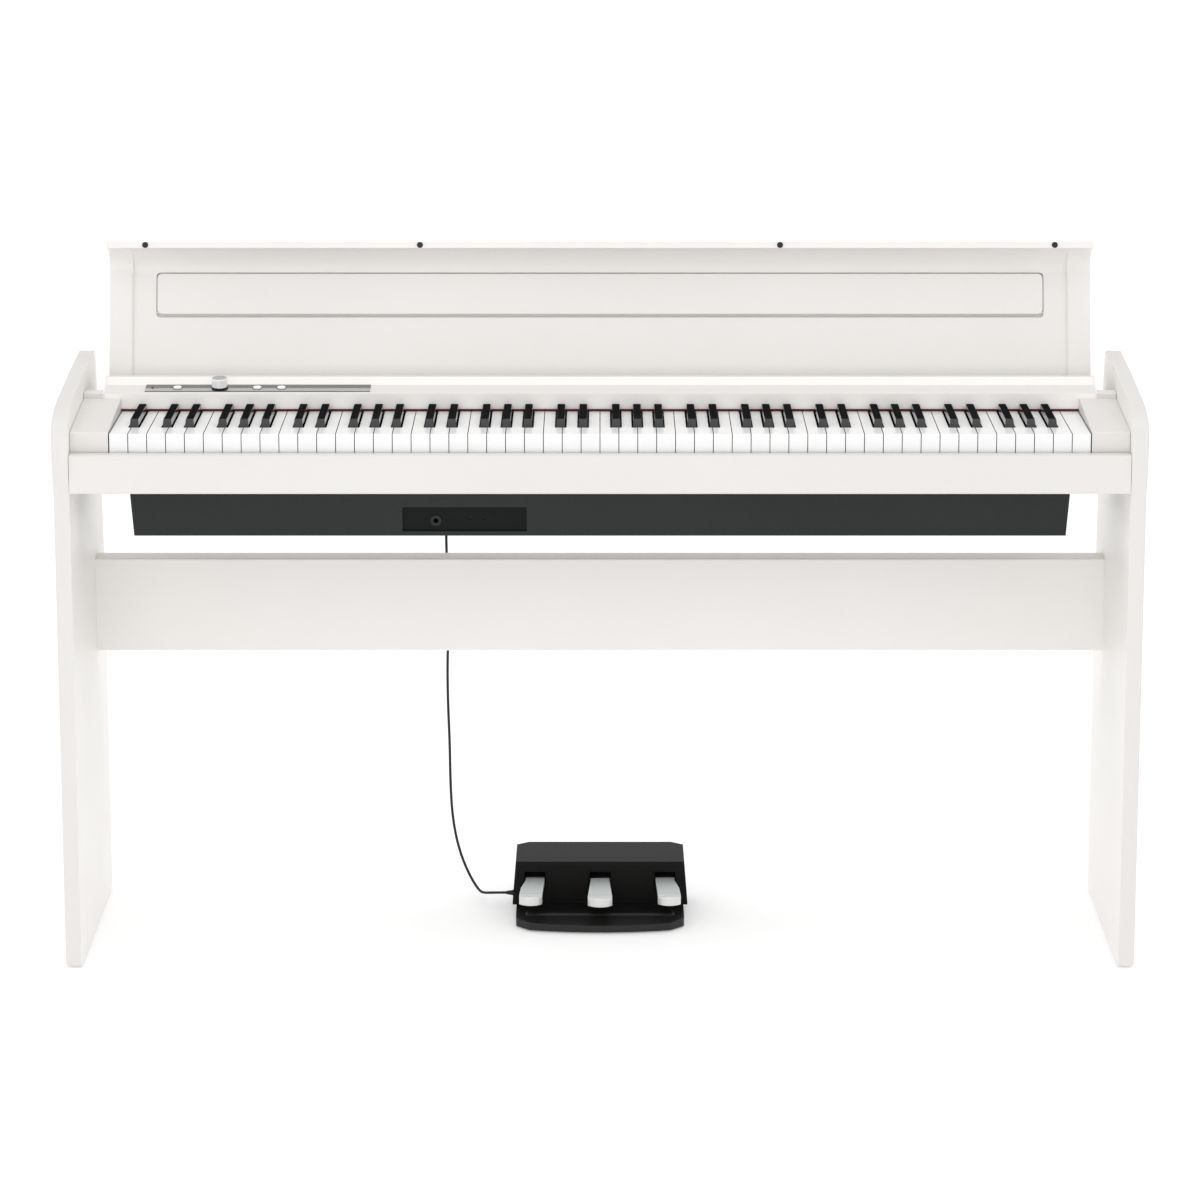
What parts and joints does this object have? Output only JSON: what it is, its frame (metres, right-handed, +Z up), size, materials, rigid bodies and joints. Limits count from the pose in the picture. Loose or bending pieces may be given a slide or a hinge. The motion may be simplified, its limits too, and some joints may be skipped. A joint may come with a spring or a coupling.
{
  "type": "digital piano on stand",
  "caption": "Full-size digital piano on a fixed two-panel stand, with hinged key lid, fold-out music rest, speaker box under the key bed and floor pedal unit.",
  "frame": {"origin": "centre of the footprint on the floor", "axes": "+X to the player's right, +Y to the back, +Z up; the keyboard faces -Y"},
  "size_m": [1.36, 0.352, 0.8985],
  "materials": {
    "side_panel_left": "warm white satin film",
    "side_panel_right": "warm white satin film",
    "floor_pads": "matt black",
    "modesty_panel": "warm white satin film",
    "stand_brackets": "zinc plated",
    "stand_screws": "zinc plated",
    "key_bed": "warm white satin film",
    "key_slip": "warm white satin film",
    "cheek_blocks": "warm white satin film",
    "top_panel": "warm white satin",
    "end_caps": "warm white satin",
    "rear_housing": "warm white satin",
    "rear_panel": "warm white satin",
    "nameboard_felt": "red felt",
    "lid_stops": "matt black",
    "control_strip": "brushed",
    "circuit_boards": "solder mask",
    "key_frame": "plain",
    "pivot_rod": "zinc plated",
    "key_rest_felt": "felt",
    "contact_board": "solder mask",
    "speaker_box": "fine grain charcoal",
    "jack_panel": "fine grain black",
    "phone_jack": "black",
    "speakers": "paper and steel",
    "speaker_grilles": "black",
    "pedal_socket": "black",
    "power_inlet": "black",
    "pedal_base": "charcoal",
    "pedal_cover": "charcoal",
    "pedal_axle": "zinc plated",
    "pedal_springs": "zinc plated",
    "strain_relief": "matt black",
    "pedal_cord": "matt black",
    "pedal_plug": "black",
    "lid_panel": "warm white satin",
    "lid_arms": "warm white satin",
    "lid_bumpers": "matt black",
    "music_rest": "warm white satin",
    "power_button": "silver",
    "sound_button": "silver",
    "function_button": "silver",
    "volume_knob": "turned",
    "volume_shaft": "plain",
    "pedal_left": "satin chrome",
    "pedal_middle": "satin chrome",
    "pedal_right": "satin chrome",
    "keys_c": "satin white",
    "keys_d": "satin white",
    "keys_e": "satin white",
    "keys_f": "satin white",
    "keys_g": "satin white",
    "keys_a": "satin white",
    "keys_b": "satin white",
    "keys_a_sharp": "satin black",
    "keys_c_sharp": "satin black",
    "keys_d_sharp": "satin black",
    "keys_f_sharp": "satin black",
    "keys_g_sharp": "satin black"
  },
  "bodies": {
    "stand": {"side_panel_left": "side_panel_left", "side_panel_right": "side_panel_right", "floor_pads": "floor_pads", "modesty_panel": "modesty_panel", "stand_brackets": "stand_brackets", "stand_screws": "stand_screws", "key_bed": "key_bed", "key_slip": "key_slip", "cheek_blocks": "cheek_blocks", "top_panel": "top_panel", "end_caps": "end_caps", "rear_housing": "rear_housing", "rear_panel": "rear_panel", "nameboard_felt": "nameboard_felt", "lid_stops": "lid_stops", "control_strip": "control_strip", "circuit_boards": "circuit_boards", "key_frame": "key_frame", "pivot_rod": "pivot_rod", "key_rest_felt": "key_rest_felt", "contact_board": "contact_board", "speaker_box": "speaker_box", "jack_panel": "jack_panel", "phone_jack": "phone_jack", "speakers": "speakers", "speaker_grilles": "speaker_grilles", "pedal_socket": "pedal_socket", "power_inlet": "power_inlet", "pedal_base": "pedal_base", "pedal_cover": "pedal_cover", "pedal_axle": "pedal_axle", "pedal_springs": "pedal_springs", "strain_relief": "strain_relief", "pedal_cord": "pedal_cord", "pedal_plug": "pedal_plug"},
    "lid": {"lid_panel": "lid_panel", "lid_arms": "lid_arms", "lid_bumpers": "lid_bumpers"},
    "music_rest": {"music_rest": "music_rest"},
    "power_button": {"power_button": "power_button"},
    "sound_button": {"sound_button": "sound_button"},
    "function_button": {"function_button": "function_button"},
    "volume_knob": {"volume_knob": "volume_knob", "volume_shaft": "volume_shaft"},
    "pedal_left": {"pedal_left": "pedal_left"},
    "pedal_middle": {"pedal_middle": "pedal_middle"},
    "pedal_right": {"pedal_right": "pedal_right"},
    "keys_c": {"keys_c": "keys_c"},
    "keys_d": {"keys_d": "keys_d"},
    "keys_e": {"keys_e": "keys_e"},
    "keys_f": {"keys_f": "keys_f"},
    "keys_g": {"keys_g": "keys_g"},
    "keys_a": {"keys_a": "keys_a"},
    "keys_b": {"keys_b": "keys_b"},
    "keys_a_sharp": {"keys_a_sharp": "keys_a_sharp"},
    "keys_c_sharp": {"keys_c_sharp": "keys_c_sharp"},
    "keys_d_sharp": {"keys_d_sharp": "keys_d_sharp"},
    "keys_f_sharp": {"keys_f_sharp": "keys_f_sharp"},
    "keys_g_sharp": {"keys_g_sharp": "keys_g_sharp"}
  },
  "joints": [
    {"name": "lid_hinge", "type": "hinge", "parent": "stand", "child": "lid", "pos_m": [0, 0.039, 0.702], "axis": [-1, 0, 0], "range_deg": [-110, 0]},
    {"name": "music_rest_hinge", "type": "hinge", "parent": "lid", "child": "music_rest", "pos_m": [0, 0.10309, 0.80197], "axis": [1, 0, 0], "range_deg": [0, 75]},
    {"name": "key_c", "type": "hinge", "parent": "stand", "child": "keys_c", "pos_m": [0, 0.09, 0.663], "axis": [1, 0, 0], "range_deg": [0, 2.4], "stiffness_Nm_per_rad": 40, "springref_deg": -2.86},
    {"name": "key_d", "type": "hinge", "parent": "stand", "child": "keys_d", "pos_m": [0, 0.09, 0.663], "axis": [1, 0, 0], "range_deg": [0, 2.4], "stiffness_Nm_per_rad": 40, "springref_deg": -2.86},
    {"name": "key_e", "type": "hinge", "parent": "stand", "child": "keys_e", "pos_m": [0, 0.09, 0.663], "axis": [1, 0, 0], "range_deg": [0, 2.4], "stiffness_Nm_per_rad": 40, "springref_deg": -2.86},
    {"name": "key_f", "type": "hinge", "parent": "stand", "child": "keys_f", "pos_m": [0, 0.09, 0.663], "axis": [1, 0, 0], "range_deg": [0, 2.4], "stiffness_Nm_per_rad": 40, "springref_deg": -2.86},
    {"name": "key_g", "type": "hinge", "parent": "stand", "child": "keys_g", "pos_m": [0, 0.09, 0.663], "axis": [1, 0, 0], "range_deg": [0, 2.4], "stiffness_Nm_per_rad": 40, "springref_deg": -2.86},
    {"name": "key_a", "type": "hinge", "parent": "stand", "child": "keys_a", "pos_m": [0, 0.09, 0.663], "axis": [1, 0, 0], "range_deg": [0, 2.4], "stiffness_Nm_per_rad": 40, "springref_deg": -2.86},
    {"name": "key_b", "type": "hinge", "parent": "stand", "child": "keys_b", "pos_m": [0, 0.09, 0.663], "axis": [1, 0, 0], "range_deg": [0, 2.4], "stiffness_Nm_per_rad": 40, "springref_deg": -2.86},
    {"name": "key_a_sharp", "type": "hinge", "parent": "stand", "child": "keys_a_sharp", "pos_m": [0, 0.09, 0.663], "axis": [1, 0, 0], "range_deg": [0, 2.4], "stiffness_Nm_per_rad": 28, "springref_deg": -2.86},
    {"name": "key_c_sharp", "type": "hinge", "parent": "stand", "child": "keys_c_sharp", "pos_m": [0, 0.09, 0.663], "axis": [1, 0, 0], "range_deg": [0, 2.4], "stiffness_Nm_per_rad": 28, "springref_deg": -2.86},
    {"name": "key_d_sharp", "type": "hinge", "parent": "stand", "child": "keys_d_sharp", "pos_m": [0, 0.09, 0.663], "axis": [1, 0, 0], "range_deg": [0, 2.4], "stiffness_Nm_per_rad": 28, "springref_deg": -2.86},
    {"name": "key_f_sharp", "type": "hinge", "parent": "stand", "child": "keys_f_sharp", "pos_m": [0, 0.09, 0.663], "axis": [1, 0, 0], "range_deg": [0, 2.4], "stiffness_Nm_per_rad": 28, "springref_deg": -2.86},
    {"name": "key_g_sharp", "type": "hinge", "parent": "stand", "child": "keys_g_sharp", "pos_m": [0, 0.09, 0.663], "axis": [1, 0, 0], "range_deg": [0, 2.4], "stiffness_Nm_per_rad": 28, "springref_deg": -2.86},
    {"name": "power_button_press", "type": "slide", "parent": "stand", "child": "power_button", "axis": [0, 0.1439, -0.9896], "range_m": [0, 0.0012], "stiffness_N_per_m": 400, "springref_m": -0.001},
    {"name": "sound_button_press", "type": "slide", "parent": "stand", "child": "sound_button", "axis": [0, 0.1439, -0.9896], "range_m": [0, 0.0012], "stiffness_N_per_m": 400, "springref_m": -0.001},
    {"name": "function_button_press", "type": "slide", "parent": "stand", "child": "function_button", "axis": [0, 0.1439, -0.9896], "range_m": [0, 0.0012], "stiffness_N_per_m": 400, "springref_m": -0.001},
    {"name": "volume_turn", "type": "hinge", "parent": "stand", "child": "volume_knob", "pos_m": [-0.487, 0.01186, 0.71894], "axis": [0, -0.1439, 0.9896], "range_deg": [-140, 140]},
    {"name": "pedal_left_press", "type": "hinge", "parent": "stand", "child": "pedal_left", "pos_m": [-0.086, 0.122, 0.052], "axis": [1, 0, 0], "range_deg": [0, 5.5], "stiffness_Nm_per_rad": 12, "springref_deg": -4.58},
    {"name": "pedal_middle_press", "type": "hinge", "parent": "stand", "child": "pedal_middle", "pos_m": [0, 0.122, 0.052], "axis": [1, 0, 0], "range_deg": [0, 5.5], "stiffness_Nm_per_rad": 12, "springref_deg": -4.58},
    {"name": "pedal_right_press", "type": "hinge", "parent": "stand", "child": "pedal_right", "pos_m": [0.086, 0.122, 0.052], "axis": [1, 0, 0], "range_deg": [0, 5.5], "stiffness_Nm_per_rad": 12, "springref_deg": -4.58}
  ]
}
